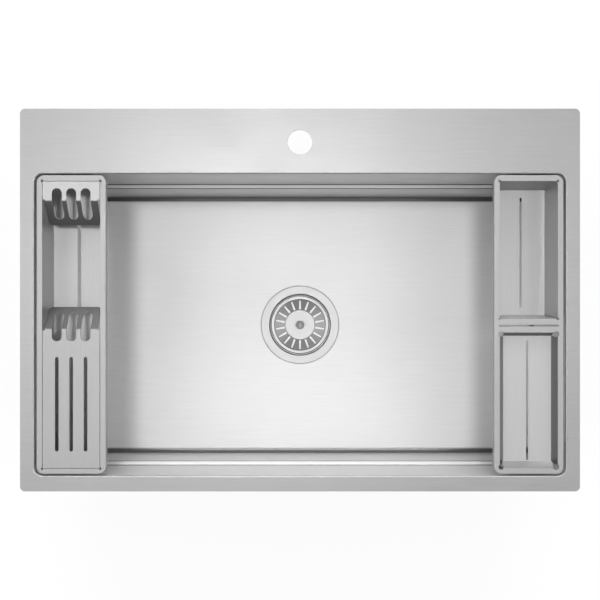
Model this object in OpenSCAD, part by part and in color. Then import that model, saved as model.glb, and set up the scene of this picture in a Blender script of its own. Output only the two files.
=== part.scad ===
// Drop-in workstation kitchen sink of folded stainless sheet, with two caddies that slide
// along a ledge inside the bowl, and a basket strainer in the middle of its floor.
// X runs along the worktop, Y from the user to the tap, Z up.
// The origin is the bowl's centre in the plane of the worktop.

/* [Deck] */
// Width of the deck beside the bowl, on the left and on the right
side_rim = 20; // [19:1:40]
// Width of the deck in front of the bowl
front_rim = 22; // [20:1:40]
// Width of the deck behind the bowl, which carries the tap
rear_rim = 92; // [70:1:120]
// Thickness of the deck plate
deck_t = 3; // [2:0.5:4]
// Radius of the deck's outer corners
deck_corner_r = 7; // [3:1:20]
// Rounding of the deck's edge at the bowl
deck_edge_r = 1.8; // [0.8:0.2:1.8]
// Diameter of the tap hole
tap_hole_d = 35; // [32:1:38]
// Distance from the bowl's rear edge to the tap hole's centre
tap_hole_back = 45; // [35:1:50]
// Thickness of the seal under the deck, pressed flat
seal_t = 1; // [0.5:0.5:2]
// Width of the seal
seal_w = 7; // [4:1:9]
// Distance from the deck's outer edge to the seal
seal_inset = 2; // [1:1:4]

/* [Bowl] */
// Width of the bowl's opening, left to right
bowl_w = 750; // [680:5:860]
// Length of the bowl's opening, front to rear
bowl_l = 426; // [400:2:460]
// Depth from the top of the deck to the floor
bowl_depth = 220; // [190:5:250]
// Radius of the bowl's upright corners
bowl_corner_r = 12; // [11:1:25]
// Radius of the bend between the walls and the floor
floor_bend_r = 10; // [5:1:10]
// Thickness of the bowl's sheet
sheet_t = 1.2; // [1:0.1:1.5]
// Depth from the top of the deck to the ledge that the caddies stand on
ledge_depth = 113; // [90:1:120]
// Width of the ledge at the front and at the rear
ledge_w = 7; // [6:0.5:12]
// Radius of the ledge's two bends
ledge_bend_r = 1.5; // [0.5:0.25:1.5]

/* [Strainer] */
// Radius of the recess pressed into the floor
recess_r = 63.4; // [60:0.2:70]
// Depth of the recess
recess_depth = 2.5; // [2:0.5:4]
// Gap between the recess and the strainer's flange
flange_gap = 0.8; // [0.4:0.2:1.2]
// Thickness of the strainer's flange and sleeve
strainer_t = 1.4; // [1.2:0.1:1.6]
// Inner radius of the strainer's sleeve
sleeve_r = 48.5; // [46:0.5:50]
// Length of the sleeve below the floor
sleeve_l = 56; // [50:1:80]
// Radius of the bend from the flange into the sleeve
mouth_r = 2.2; // [1:0.2:3]
// Clearance between the sleeve and the hole in the floor
hole_gap = 0.8; // [0.4:0.2:1.5]
// Depth below the floor of the bead that carries the basket
bead_depth = 9; // [8:0.5:12]
// Height of that bead
bead_h = 4; // [3:0.5:5]
// Distance that the bead stands inwards
bead_in = 3.5; // [3:0.5:4]
// Thickness of the rubber washer under the floor
washer_t = 3; // [2:0.5:4]
// Thickness of the slip ring under the washer
slip_ring_t = 1; // [0.5:0.5:2]
// Height of the locknut
nut_h = 11; // [8:1:14]
// Width of the locknut's ring
nut_w = 6; // [5:0.5:8]
// Number of lugs round the locknut
nut_lugs = 8; // [4:1:12]
// Step from the threaded sleeve down to its plain outlet end
outlet_step = 0.5; // [0.3:0.1:0.6]
// Length of the outlet end
outlet_l = 22; // [16:1:24]

/* [Basket] */
// Gap between the basket's rim and the sleeve
basket_gap = 1.5; // [0.5:0.25:2]
// Width of the basket's rolled rim
basket_rim_w = 5; // [4:0.5:6]
// Height of the rolled rim
basket_rim_h = 2.6; // [2:0.2:3]
// Thickness of the seal under the basket's rim
basket_seal_t = 1; // [0.6:0.2:1.4]
// Width of that seal
basket_seal_w = 2.5; // [1.5:0.25:3]
// Thickness of the basket's sheet
basket_t = 0.8; // [0.6:0.1:1]
// Depth of the basket's upright wall
basket_wall_h = 5; // [4:0.5:8]
// Fall of the slotted cone
cone_fall = 5; // [3:0.5:8]
// Radius of the flat disc in the middle
disc_r = 23.5; // [18:0.5:26]
// Number of slots round the cone
slot_count = 18; // [8:1:20]
// Width of each slot at its inner end
slot_w = 3.2; // [2:0.2:4]
// Width of each slot at its outer end
slot_tip_w = 2; // [1:0.2:3.2]
// Radius at which the slots start
slot_r_in = 25.4; // [25:0.2:28]
// Radius at which the slots end
slot_r_out = 39.4; // [34:0.2:39.4]
// Radius of the knob's head
knob_r = 7; // [5:0.5:9]
// Radius of the knob's stem
stem_r = 3; // [2:0.25:4]
// Height of the knob over the basket's disc
knob_h = 12; // [9:0.5:14]
// Thickness of the knob's foot
knob_foot_t = 0.6; // [0.4:0.2:1.2]

/* [Caddies] */
// Width of each caddy
caddy_w = 99; // [90:1:110]
// Gap between a caddy and the bowl's side wall
caddy_side_gap = 2.5; // [1.5:0.5:4]
// Gap between a caddy and the bowl's front and rear walls
caddy_end_gap = 1.5; // [1:0.5:3]
// Distance of a caddy's rim below the top of the deck
rim_drop = 0.5; // [0:0.25:2]
// Width of a caddy's rim at its sides
caddy_rim_w = 8.5; // [7:0.5:9]
// Height of a caddy's rim, folded down round its outside
skirt_h = 10; // [7:1:14]
// Rounding of a caddy's rim
rim_bend_r = 2; // [1.4:0.2:3]
// Thickness of the caddies' sheet
caddy_t = 1.2; // [1:0.1:1.5]
// Diameter of the relief holes at the corners of the folds
relief_d = 4; // [2:0.5:5]
// Depth of the left tray and of the deep tray below the rim
tray_depth = 57; // [45:1:75]
// Width of the open seams at the trays' corners
seam_w = 1.4; // [0.4:0.2:2]
// Width of an end leg, along X
leg_w = 64; // [40:1:64]
// Distance from a leg to the start of the bowl's upright corner
leg_inset = 1; // [1:1:12]
// Radius of the legs' lower corners
leg_corner_r = 5; // [1:0.5:8]
// Height of the plastic glides under the legs
glide_h = 8; // [6:1:12]
// Thickness of the glides
glide_t = 4.4; // [3.6:0.1:4.6]
// Running gap between the glides and the ledge
glide_gap = 0.3; // [0.2:0.1:0.5]

/* [Left caddy] */
// Distance that the left tray's walls lean inwards at the floor
left_lean = 3.5; // [2:0.5:8]
// Width of the drain slot in the left tray's floor
left_slot_w = 4.8; // [4.5:0.1:8]
// Distance from the left tray's ends to its drain slot
left_slot_inset = 21; // [10:1:40]
// Clearance round the rest plate and the knife plate
plate_gap = 0.7; // [0.4:0.1:1]
// Thickness of the plates
plate_t = 1.5; // [1.2:0.1:2]
// Length of the rest plate's flat part
rest_flat_l = 27.5; // [24:0.5:40]
// Distance from the rest plate's rear edge to its notches
rest_notch_start = 9.6; // [8:0.2:12]
// Length of the knife plate's flat part
knife_flat_l = 196.5; // [190:0.5:210]
// Distance that a notch runs into the knife plate's flat part
knife_notch_l = 17.5; // [12:0.5:24]
// Run of both plates' sloping flaps, seen from above
flap_run = 31.5; // [28:0.5:36]
// Fall of the flaps
flap_fall = 28; // [20:0.5:34]
// Distance that each side of a flap stands in from the flat part
flap_inset = 3; // [1:0.5:5]
// Inner radius of the fold between plate and flap
fold_r = 2; // [0.5:0.5:4]
// Radius of the flaps' corners
flap_corner_r = 6; // [2:0.5:10]
// Width of the notches
notch_w = 14; // [10:0.5:15]
// Distance between neighbouring notches, and between neighbouring knife slots
notch_pitch = 20.3; // [18:0.1:22]
// Distance that the notches run into the flaps
notch_run = 24; // [16:0.5:25]
// Width of the knife slots
knife_slot_w = 5; // [4.5:0.25:7]
// Length of the knife slots
knife_slot_l = 133; // [80:1:135]
// Distance from the knife plate's front edge to its slots
knife_slot_start = 23.6; // [18:0.2:28]
// Reach of the lugs that carry the plates
lug_reach = 3; // [2.5:0.5:4]
// Length of those lugs
lug_l = 10; // [6:1:16]

/* [Right caddy] */
// Width of the bar between the deep tray and the shallow tray
divider_w = 19.5; // [16:0.5:24]
// Distance from the caddy's middle to the middle of that bar
divider_y = -1.25; // [-20:0.25:20]
// Width of the slit along that bar
slit_w = 2.75; // [1.5:0.25:4]
// Distance that the slit runs into the rim at each end
slit_over = 1.2; // [0.6:0.2:2]
// Distance that the deep tray's walls lean inwards at its floor
deep_lean = 6; // [2:0.5:8]
// Depth of the shallow tray below the rim
shallow_depth = 12; // [6:0.5:20]
// Distance that the shallow tray's sides lean inwards at its floor
shallow_lean = 7; // [5:0.5:9]
// Distance that the shallow tray's rear wall leans inwards at its floor
shallow_rear_lean = 4.5; // [3:0.5:7]
// Distance that the shallow tray's front wall leans inwards at its floor
shallow_front_lean = 9.5; // [7:0.5:12]
// Diameter of the round holes at the shallow tray's corners
corner_hole_d = 8; // [5:0.5:9]
// Distance that those holes stand in from the corners of the opening
corner_hole_in = 2.2; // [1.5:0.1:3]
// Width of the drain slots in both trays
drain_slot_w = 3; // [2:0.25:4]
// Distance from the deep tray's floor ends to its drain slot
deep_slot_inset = 11; // [8:1:30]
// Distance from the rear end of the shallow tray's floor to its drain slot
shallow_slot_rear = 7.5; // [4:0.5:30]
// Distance from the front end of the shallow tray's floor to its drain slot
shallow_slot_front = 1; // [0.5:0.5:30]

/* [Under the deck] */
// Thickness of the sound pads
pad_t = 3; // [2:0.5:5]
// Radius of the pads' corners
pad_corner_r = 12; // [5:1:25]
// Distance from a pad to the edges of the face that it lies on
pad_margin = 24; // [15:1:50]
// Distance from the floor pads to the middle of the bowl
pad_middle = 84; // [82:1:120]
// Thickness of worktop that the clips are set for
worktop_t = 38; // [28:1:42]
// Diameter of the clip screws
screw_d = 5; // [4:0.5:6]
// Height of the clip screws' heads
screw_head_h = 4; // [3:0.5:5]
// Length of screw below a clip arm
screw_over = 12; // [8:1:20]
// Distance from the deck down to the clip brackets
bracket_drop = 6; // [4:1:10]
// Length of a clip bracket along the wall
bracket_l = 22; // [16:1:30]
// Distance that a clip bracket stands out from the wall
bracket_out = 14; // [12:0.5:16]
// Thickness of the brackets and of the clip arms
bracket_t = 2; // [1.5:0.25:2.5]
// Height of a bracket
bracket_h = 18; // [14:1:22]
// Reach of a clip arm from the inside of the bowl's wall
arm_reach = 19.5; // [17:0.5:24]
// Width of a clip arm
arm_w = 14; // [10:1:18]
// Height of a clip arm's tooth
arm_tip = 4; // [2:0.5:6]
// Gap between the teeth and the worktop before the screws are tightened
arm_gap = 0.5; // [0:0.5:3]

/* [Hidden] */
$fn = 72;

// Extra length by which a cut passes both faces of what it cuts
cut = 1;
// Clearance between a thread's crests and the nut on it
thread_gap = 0.1;
// Clearance of a piece that is pushed on, such as a glide on its leg
snug = 0.1;

// Levels: the seal lies on the worktop, at Z = 0
deck_z = seal_t;
deck_top = deck_z + deck_t;
floor_z = deck_top - bowl_depth;
ledge_z = deck_top - ledge_depth;
rim_top = deck_top - rim_drop;
rim_under = rim_top - caddy_t;
bend_top = floor_z + floor_bend_r;
bend_x = bowl_corner_r - floor_bend_r;
bend_steps = 9;
fold_steps = 6;

// Deck outline
deck_w = bowl_w + 2 * side_rim;
deck_l = front_rim + bowl_l + rear_rim;
deck_y = (rear_rim - front_rim) / 2;

// Lower part of the bowl, between the ledges
lower_l = bowl_l - 2 * ledge_w;
wall_x = bowl_w / 2 + sheet_t;
wall_y = lower_l / 2 + sheet_t;

// Drain
flange_r = recess_r - flange_gap;
thread_r = sleeve_r + strainer_t;
hole_r = thread_r + hole_gap;
outlet_r = thread_r - outlet_step;
gasket_t = recess_depth - strainer_t;
recess_z = floor_z - recess_depth;
washer_z = recess_z - sheet_t;
slip_z = washer_z - washer_t;
nut_z = slip_z - slip_ring_t;
sleeve_end = floor_z - sleeve_l;
outlet_z = sleeve_end + outlet_l;
washer_r = thread_r + thread_gap + nut_w + 2;
bead_top = floor_z - bead_depth;
bead_r = sleeve_r - bead_in;

// Basket
basket_r = sleeve_r - basket_gap;
basket_in_r = basket_r - basket_rim_w;
rim_z = bead_top + basket_seal_t;
cone_z = rim_z - basket_wall_h;
cone_r = basket_in_r - basket_t;
disc_z = cone_z - cone_fall;

// Caddies
caddy_l = bowl_l - 2 * caddy_end_gap;
caddy_x = bowl_w / 2 - caddy_side_gap - caddy_w / 2;
open_w = caddy_w - 2 * caddy_rim_w;
open_l = caddy_l - 2 * caddy_rim_w;
caddy_corner_r = bowl_corner_r - caddy_end_gap;
leg_x = bowl_w / 2 - bowl_corner_r - leg_inset - leg_w / 2;
leg_y = caddy_l / 2 - caddy_t;
glide_y = leg_y - caddy_t / 2;
glide_z = ledge_z + glide_gap;
leg_bottom = glide_z + glide_h / 3;

// Plates of the left caddy
plate_z = rim_top - plate_t;
plate_w = open_w - 2 * plate_gap;
plate_rear = open_l / 2 - plate_gap;
plate_front = -plate_rear;
notches = [-notch_pitch, 0, notch_pitch];
flap_angle = atan(flap_fall / flap_run);
lug_z = plate_z - caddy_t;
lug_places = [
  plate_rear - rest_flat_l / 2,
  plate_front + knife_flat_l * 0.15,
  plate_front + knife_flat_l * 0.85
];

// Openings of the right caddy
divider_rear = divider_y + divider_w / 2;
divider_front = divider_y - divider_w / 2;
deep_l = open_l / 2 - divider_rear;
deep_y = divider_rear + deep_l / 2;
shallow_l = divider_front + open_l / 2;
shallow_y = divider_front - shallow_l / 2;

// Ends of the drain slots, from the middle of their trays
left_slot_end = open_l / 2 - left_lean - left_slot_inset;
deep_slot_end = deep_l / 2 - deep_lean - deep_slot_inset;

// Clips: place on the wall, and direction that it faces
clip_side_y = bowl_l * 0.3;
clip_front_x = bowl_w * 0.3;
clips = [
  [bowl_w / 2, clip_side_y, 0], [bowl_w / 2, -clip_side_y, 0],
  [-bowl_w / 2, clip_side_y, 180], [-bowl_w / 2, -clip_side_y, 180],
  [clip_front_x, bowl_l / 2, 90], [-clip_front_x, bowl_l / 2, 90],
  [clip_front_x, -bowl_l / 2, -90], [0, -bowl_l / 2, -90], [-clip_front_x, -bowl_l / 2, -90]
];
bracket_z = deck_z - bracket_drop;
screw_out = sheet_t + bracket_out - screw_d;
arm_z = -worktop_t - arm_tip - arm_gap;
screw_end = arm_z - screw_over;

// Sound pads: band on the walls, and the two on the floor
pad_z = bend_top + pad_margin / 2;
pad_h = ledge_z - sheet_t - pad_margin / 2 - pad_z;
floor_pad_l = lower_l - 2 * floor_bend_r - 2 * pad_margin;
floor_pad_w = bowl_w / 2 - floor_bend_r - pad_margin - pad_middle;

steel = "silver";
dark_steel = "darkgray";
rubber = "dimgray";
zinc = "lightsteelblue";

// ---- outlines and sweeps -------------------------------------------------------------

// Points along an arc, in a number of equal steps
function arc(x, y, r, from, to, steps) = [
  for (i = [0:steps])
    let (a = from + (to - from) * i / steps)
      [x + r * cos(a), y + r * sin(a)]
];

// Rectangle with round corners
module rounded_rect(w, l, r) {
  square([w - 2 * r, l], center = true);
  square([w, l - 2 * r], center = true);
  for (x = [-1, 1], y = [-1, 1])
    translate([x * (w / 2 - r), y * (l / 2 - r)])
      circle(r);
}

// Quarter of a disc, to the right of its centre and above it
module quarter_disc(r) {
  intersection() {
    circle(r);
    square(r);
  }
}

// Quarter of a ring, to the right of its centre and below it
module quarter_ring(outer, inner) {
  mirror([0, 1])
    difference() {
      quarter_disc(outer);
      circle(inner);
    }
}

// What a rounding leaves out of a square corner
module corner_leftover(r) {
  polygon([[0, 0], each arc(r, r, r, 270, 180, fold_steps)]);
}

// Long hole with round ends, along Y from y0 to y1
module obround(width, y0, y1) {
  r = width / 2;
  translate([-r, y0 + r])
    square([width, y1 - y0 - width]);
  for (y = [y0 + r, y1 - r])
    translate([0, y])
      circle(r);
}

// Sweeps a profile round a rectangle with round corners. The profile's x is the distance
// out from the corners' centres, so the rectangle's edge lies at x = r.
module swept_frame(w, l, r) {
  cx = w / 2 - r;
  cy = l / 2 - r;
  for (turn = [0, 180])
    rotate(turn) {
      translate([cx, cy, 0])
        rotate([90, 0, 0])
          linear_extrude(2 * cy)
            children();
      translate([-cx, cy, 0])
        rotate([90, 0, 90])
          linear_extrude(2 * cx)
            children();
      translate([cx, cy, 0])
        rotate_extrude(angle = 90)
          children();
      translate([-cx, cy, 0])
        rotate(90)
          rotate_extrude(angle = 90)
            children();
    }
}

// Bar along X with the given profile, whose x runs along Y and whose y runs along Z
module bar_along_x(length) {
  translate([-length / 2, 0, 0])
    rotate([90, 0, 90])
      linear_extrude(length)
        children();
}

// Bar along Y with the given profile, whose x runs along X and whose y runs along Z
module bar_along_y(length) {
  translate([0, length / 2, 0])
    rotate([90, 0, 0])
      linear_extrude(length)
        children();
}

// Ring with a rectangular section
module ring(outer, inner, z, h) {
  translate([0, 0, z])
    difference() {
      cylinder(r = outer, h = h);
      translate([0, 0, -cut])
        cylinder(r = inner, h = h + 2 * cut);
    }
}

// ---- deck and bowl -------------------------------------------------------------------

// The deck's outline, or one that lies inside it
module deck_outline(inset = 0) {
  translate([0, deck_y])
    rounded_rect(deck_w - 2 * inset, deck_l - 2 * inset, max(deck_corner_r - inset, 0.5));
}

// Flat plate whose edge at the bowl is rounded over
module deck_plate() {
  color(steel) {
    difference() {
      translate([0, 0, deck_z])
        linear_extrude(deck_t)
          deck_outline();
      translate([0, 0, deck_z - cut])
        linear_extrude(deck_t + 2 * cut)
          rounded_rect(bowl_w + 2 * deck_edge_r, bowl_l + 2 * deck_edge_r,
            bowl_corner_r + deck_edge_r);
      translate([0, bowl_l / 2 + tap_hole_back, deck_z - cut])
        cylinder(d = tap_hole_d, h = deck_t + 2 * cut);
    }
    swept_frame(bowl_w, bowl_l, bowl_corner_r) {
      translate([bowl_corner_r, deck_z])
        square([deck_edge_r, deck_t - deck_edge_r]);
      translate([bowl_corner_r + deck_edge_r, deck_top - deck_edge_r])
        mirror([1, 0])
          quarter_disc(deck_edge_r);
    }
  }
}

// Walls with the ledge half way down, and the floor with its bends
module bowl_sheet() {
  // Upper walls
  translate([0, 0, ledge_z])
    linear_extrude(deck_z - ledge_z)
      difference() {
        rounded_rect(bowl_w + 2 * sheet_t, bowl_l + 2 * sheet_t, bowl_corner_r + sheet_t);
        rounded_rect(bowl_w, bowl_l, bowl_corner_r);
      }
  // Ledge, which dies out into the side walls
  translate([0, 0, ledge_z - sheet_t])
    linear_extrude(sheet_t)
      difference() {
        rounded_rect(bowl_w + 2 * sheet_t, bowl_l + 2 * sheet_t, bowl_corner_r + sheet_t);
        rounded_rect(bowl_w, lower_l, bowl_corner_r);
      }
  // Lower walls, bends and the floor's border
  swept_frame(bowl_w, lower_l, bowl_corner_r)
    polygon([
      [0, floor_z - sheet_t],
      each arc(bend_x, bend_top, floor_bend_r + sheet_t, 270, 360, bend_steps),
      [bowl_corner_r + sheet_t, ledge_z - sheet_t],
      [bowl_corner_r, ledge_z - sheet_t],
      each arc(bend_x, bend_top, floor_bend_r, 360, 270, bend_steps),
      [0, floor_z]
    ]);
  // Floor, which laps over the flat of that border
  floor_w = bowl_w - 2 * bowl_corner_r + bend_x;
  floor_l = lower_l - 2 * bowl_corner_r + bend_x;
  translate([-floor_w / 2, -floor_l / 2, floor_z - sheet_t])
    cube([floor_w, floor_l, sheet_t]);
  // Wall and bottom of the strainer's recess
  translate([0, 0, washer_z])
    cylinder(r = recess_r + sheet_t, h = recess_depth);
}

// The ledge's two bends at the front and at the rear, as straight bars: what the upper one
// fills in, and what the lower one takes away
module ledge_bend(y, convex) {
  for (side = [0, 180])
    rotate(side)
      translate([0, y, ledge_z])
        bar_along_x(bowl_w - 2 * bowl_corner_r)
          if (convex)
            mirror([0, 1])
              corner_leftover(ledge_bend_r);
          else
            mirror([1, 0])
              corner_leftover(ledge_bend_r);
}

module bowl_shell() {
  color(steel)
    difference() {
      union() {
        bowl_sheet();
        ledge_bend(bowl_l / 2, false);
      }
      ledge_bend(lower_l / 2, true);
      translate([0, 0, recess_z])
        cylinder(r = recess_r, h = recess_depth + cut);
      translate([0, 0, washer_z - cut])
        cylinder(r = hole_r, h = sheet_t + 2 * cut);
    }
}

// Soft strip between the deck and the worktop
module worktop_seal() {
  color(rubber)
    linear_extrude(seal_t)
      difference() {
        deck_outline(seal_inset);
        deck_outline(seal_inset + seal_w);
      }
}

// ---- clips that hold the sink down ---------------------------------------------------

// Puts its children at each clip: x outwards from the wall's inner face, y along the wall
module at_clips() {
  for (c = clips)
    translate([c[0], c[1], 0])
      rotate(c[2])
        children();
}

// Channels welded to the bowl, drilled for the screws
module clip_brackets() {
  color(zinc)
    at_clips()
      difference() {
        translate([sheet_t, 0, bracket_z - bracket_h])
          bar_along_y(bracket_l) {
            square([bracket_t, bracket_h]);
            square([bracket_out, bracket_t]);
            translate([0, bracket_h - bracket_t])
              square([bracket_out, bracket_t]);
          }
        translate([screw_out, 0, bracket_z - bracket_h - cut])
          cylinder(d = screw_d + 2 * thread_gap, h = bracket_h + 2 * cut);
      }
}

// Hexagon screws, head down
module clip_screws() {
  color(zinc)
    at_clips()
      translate([screw_out, 0, screw_end]) {
        cylinder(d = screw_d, h = bracket_z + screw_d / 2 - screw_end);
        cylinder(d = 2 * screw_d, h = screw_head_h, $fn = 6);
      }
}

// Arms with a turned-up tooth that bites on the underside of the worktop
module clip_arms() {
  color(zinc)
    at_clips()
      difference() {
        bar_along_y(arm_w)
          polygon([
            [sheet_t + bracket_t, arm_z - bracket_t],
            [arm_reach, arm_z - bracket_t],
            [arm_reach, arm_z + arm_tip],
            [arm_reach - bracket_t, arm_z + arm_tip / 2],
            [arm_reach - bracket_t, arm_z],
            [sheet_t + bracket_t, arm_z]
          ]);
        translate([screw_out, 0, arm_z - bracket_t - cut])
          cylinder(d = screw_d + 2 * thread_gap, h = bracket_t + 2 * cut);
      }
}

// ---- sound pads ----------------------------------------------------------------------

// Pad on a wall: x along the wall, its back at y = 0
module wall_pad(length) {
  color(rubber)
    translate([0, 0, pad_z + pad_h / 2])
      rotate([-90, 0, 0])
        linear_extrude(pad_t)
          rounded_rect(length, pad_h, pad_corner_r);
}

module pad_rear() {
  translate([0, wall_y, 0])
    wall_pad(bowl_w - 2 * bowl_corner_r - 2 * pad_margin);
}

module pad_front() {
  rotate(180)
    pad_rear();
}

module pad_left() {
  translate([-wall_x, 0, 0])
    rotate(90)
      wall_pad(lower_l - 2 * bowl_corner_r - 2 * pad_margin);
}

module pad_right() {
  rotate(180)
    pad_left();
}

module pad_floor_right() {
  color(rubber)
    translate([pad_middle + floor_pad_w / 2, 0, floor_z - sheet_t - pad_t])
      linear_extrude(pad_t)
        rounded_rect(floor_pad_w, floor_pad_l, pad_corner_r);
}

module pad_floor_left() {
  rotate(180)
    pad_floor_right();
}

// ---- strainer ------------------------------------------------------------------------

// Flange, sleeve with the bead that carries the basket, and plain outlet end
module strainer_body() {
  edge = strainer_t / 3;
  color(steel)
    rotate_extrude()
      polygon([
        [flange_r, floor_z - strainer_t],
        [flange_r, floor_z - edge],
        [flange_r - edge, floor_z],
        each arc(sleeve_r + mouth_r, floor_z - mouth_r, mouth_r, 90, 180, 8),
        [sleeve_r, bead_top],
        [bead_r, bead_top],
        [bead_r, bead_top - bead_h / 2],
        [sleeve_r, bead_top - bead_h],
        [sleeve_r, sleeve_end],
        [outlet_r, sleeve_end],
        [outlet_r, outlet_z],
        [thread_r, outlet_z],
        [thread_r, floor_z - strainer_t]
      ]);
}

module flange_gasket() {
  color(rubber)
    ring(flange_r - gasket_t, hole_r, recess_z, gasket_t);
}

module rubber_washer() {
  color(rubber)
    ring(washer_r, hole_r, slip_z, washer_t);
}

module slip_ring() {
  color("beige")
    ring(washer_r, hole_r, nut_z, slip_ring_t);
}

// Locknut with lugs to turn it by
module locknut() {
  nut_r = thread_r + thread_gap + nut_w;
  lug = nut_w / 2;
  color(dark_steel)
    translate([0, 0, nut_z - nut_h])
      linear_extrude(nut_h)
        difference() {
          union() {
            circle(nut_r);
            for (i = [0:nut_lugs - 1])
              rotate(i * 360 / nut_lugs)
                translate([-nut_w / 2, 0])
                  square([nut_w, nut_r + lug]);
          }
          circle(thread_r + thread_gap);
        }
}

// ---- basket --------------------------------------------------------------------------

// Rolled rim, upright wall, slotted cone and flat disc
module strainer_basket() {
  roll = basket_rim_h / 2;
  color(steel)
    difference() {
      rotate_extrude()
        polygon([
          [0, disc_z],
          [disc_r, disc_z],
          [cone_r, cone_z],
          [cone_r, rim_z + roll],
          each arc(basket_in_r, rim_z + roll, roll, 135, 90, 3),
          each arc(basket_r - roll, rim_z + roll, roll, 90, 0, 5),
          [basket_r, rim_z],
          [basket_in_r, rim_z],
          [basket_in_r, cone_z],
          [disc_r, disc_z - basket_t],
          [0, disc_z - basket_t]
        ]);
      for (i = [0:slot_count - 1])
        rotate(i * 360 / slot_count)
          translate([0, 0, disc_z - basket_t - cut])
            linear_extrude(cone_fall + basket_t + 2 * cut)
              polygon([
                [-slot_w / 2, slot_r_in],
                [slot_w / 2, slot_r_in],
                [slot_tip_w / 2, slot_r_out],
                [-slot_tip_w / 2, slot_r_out]
              ]);
    }
}

module basket_seal() {
  color(rubber)
    ring(basket_r - snug, basket_r - snug - basket_seal_w, bead_top, basket_seal_t);
}

// Knob that lifts the basket: a stem that flares at its foot, under a round cone
module basket_knob() {
  top = disc_z + knob_h;
  flare = knob_r - stem_r;
  nose = knob_r / 4;
  shoulder = top - knob_r * 0.8;
  color(steel)
    rotate_extrude()
      polygon([
        [0, disc_z],
        [knob_r, disc_z],
        each arc(knob_r, disc_z + knob_foot_t + flare, flare, 270, 180, fold_steps),
        [stem_r, shoulder - stem_r / 2],
        [knob_r, shoulder],
        each arc(0, top - nose, nose, 40, 90, fold_steps)
      ]);
}

// ---- caddies -------------------------------------------------------------------------

// Puts its children at the left caddy, or at the right one
module at_left() {
  translate([-caddy_x, 0, 0])
    children();
}

module at_right() {
  translate([caddy_x, 0, 0])
    children();
}

// Rim with its outside folded down, open in the middle
module caddy_rim() {
  translate([0, 0, rim_top])
    swept_frame(caddy_w, caddy_l, caddy_corner_r) {
      translate([caddy_corner_r - caddy_rim_w, -caddy_t])
        square([caddy_rim_w - rim_bend_r, caddy_t]);
      translate([caddy_corner_r - rim_bend_r, -rim_bend_r])
        mirror([0, 1])
          quarter_ring(rim_bend_r, rim_bend_r - caddy_t);
      translate([caddy_corner_r - caddy_t, -skirt_h])
        square([caddy_t, skirt_h - rim_bend_r]);
    }
}

// Holes of diameter d down to z at the corners of an opening l long, with its middle at y.
// They stand in from the corners.
module corner_holes(l, y, d, in, z) {
  for (side = [-1, 1], end = [-1, 1])
    translate([side * (open_w / 2 - in), y + end * (l / 2 - in), z])
      cylinder(d = d, h = rim_top + cut - z);
}

// Relief holes through the rim and the top of the folds under it
module relief_holes(l, y) {
  corner_holes(l, y, relief_d, 0, rim_under - relief_d / 2);
}

// Larger holes that run down through the shallow tray's corners
module shallow_corner_holes() {
  corner_holes(shallow_l, shallow_y, corner_hole_d, corner_hole_in,
    rim_top - shallow_depth - caddy_t - cut);
}

// Sloping-sided block on z = 0 that measures w by l at height h and goes on to above it.
// Its foot stands in by the leans of its sides, its rear and its front.
module leaning_block(w, l, h, leans, above) {
  up = h + above;
  grow = leans * above / h;
  reach = max(leans) + max(grow);
  intersection() {
    bar_along_y(l + 2 * reach)
      polygon([
        [-w / 2 + leans[0], 0],
        [w / 2 - leans[0], 0],
        [w / 2 + grow[0], up],
        [-w / 2 - grow[0], up]
      ]);
    bar_along_x(w + 2 * reach)
      polygon([
        [-l / 2 + leans[2], 0],
        [l / 2 - leans[1], 0],
        [l / 2 + grow[1], up],
        [-l / 2 - grow[2], up]
      ]);
  }
}

// Tray folded from one sheet under an opening w by l, with the leans of its sides, rear and
// front. Its corners are left open.
module folded_tray(w, l, depth, leans) {
  h = depth - caddy_t;
  translate([0, 0, rim_top - depth])
    difference() {
      translate([0, 0, -caddy_t])
        leaning_block(w + 2 * caddy_t, l + 2 * caddy_t, h + caddy_t, leans, 0);
      leaning_block(w, l, h, leans, cut);
      for (side = [-1, 1], end = [-1, 1]) {
        end_lean = end > 0 ? leans[1] : leans[2];
        reach = max(leans) + caddy_t;
        translate([side * w / 2, end * l / 2, caddy_t])
          rotate(side * end * atan(end_lean / leans[0]))
            translate([-2 * reach, -seam_w / 2, 0])
              cube([4 * reach, seam_w, h]);
      }
    }
}

// Slot through a tray's floor from y = front to y = rear
module floor_slot(width, front, rear, depth) {
  translate([0, 0, rim_top - depth - caddy_t - cut])
    linear_extrude(caddy_t + 2 * cut)
      obround(width, front, rear);
}

// End leg at the rear of the right caddy, welded flat to the inside of the folded rim
module end_leg() {
  leg_h = rim_top - rim_bend_r - leg_bottom;
  color(steel)
    translate([leg_x, leg_y, leg_bottom])
      rotate([90, 0, 0])
        linear_extrude(caddy_t) {
          translate([-leg_w / 2, leg_corner_r])
            square([leg_w, leg_h - leg_corner_r]);
          translate([-leg_w / 2 + leg_corner_r, 0])
            square([leg_w - 2 * leg_corner_r, leg_corner_r]);
          for (x = [-1, 1])
            translate([x * (leg_w / 2 - leg_corner_r), leg_corner_r])
              circle(leg_corner_r);
        }
}

// Plastic shoes that the legs stand on and slide with, at the rear and at the front
module end_glides() {
  color("whitesmoke")
    for (turn = [0, 1])
      mirror([0, turn, 0])
        translate([leg_x, glide_y, glide_z])
          bar_along_x(leg_w)
            difference() {
              translate([-glide_t / 2, 0])
                square([glide_t, glide_h]);
              translate([-caddy_t / 2 - snug, glide_h / 3])
                square([caddy_t + 2 * snug, glide_h]);
            }
}

// ---- left caddy ----------------------------------------------------------------------

module left_frame() {
  color(steel)
    at_left()
      difference() {
        caddy_rim();
        relief_holes(open_l, 0);
      }
}

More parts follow.
